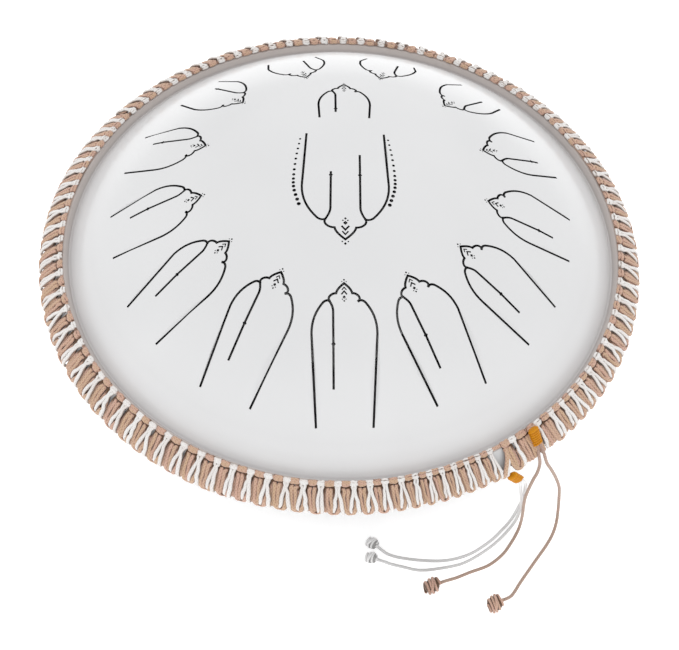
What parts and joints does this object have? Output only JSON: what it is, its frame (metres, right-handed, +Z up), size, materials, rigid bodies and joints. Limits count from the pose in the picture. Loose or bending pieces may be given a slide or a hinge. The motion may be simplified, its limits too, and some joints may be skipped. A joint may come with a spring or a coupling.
{
  "type": "tongue drum",
  "caption": "White steel tongue drum: a domed shell cut into tuned tongues over a bowl, its rim laced all round with beige and white cord whose knotted ends lie in front.",
  "frame": {"origin": "on the floor under the middle of the drum", "axes": "+Z up along the drum's axis, -Y towards the lowest tongue at the front, +X to the right"},
  "size_m": [0.3656, 0.3878, 0.1504],
  "materials": {
    "white_paint": "smooth white satin paint on pressed steel",
    "beige_cord": "matt beige braided cord",
    "white_cord": "matt white braided cord",
    "amber_thread": "slightly glossy amber thread",
    "black_rubber": "matt black rubber"
  },
  "bodies": {
    "root": {"upper_shell": "white_paint", "lower_shell": "white_paint", "flange_seal": "black_rubber", "upper_core_cord": "beige_cord", "lower_core_cord": "beige_cord", "beige_lacing": "beige_cord", "white_lacing": "white_cord", "beige_whipping": "amber_thread", "white_whipping": "amber_thread", "beige_tail_left": "beige_cord", "beige_tail_right": "beige_cord", "white_tail_upper": "white_cord", "white_tail_lower": "white_cord", "beige_knot_left": "beige_cord", "beige_knot_right": "beige_cord", "white_knot_upper": "white_cord", "white_knot_lower": "white_cord", "foot_1": "black_rubber", "foot_2": "black_rubber", "foot_3": "black_rubber", "foot_4": "black_rubber"}
  },
  "joints": []
}
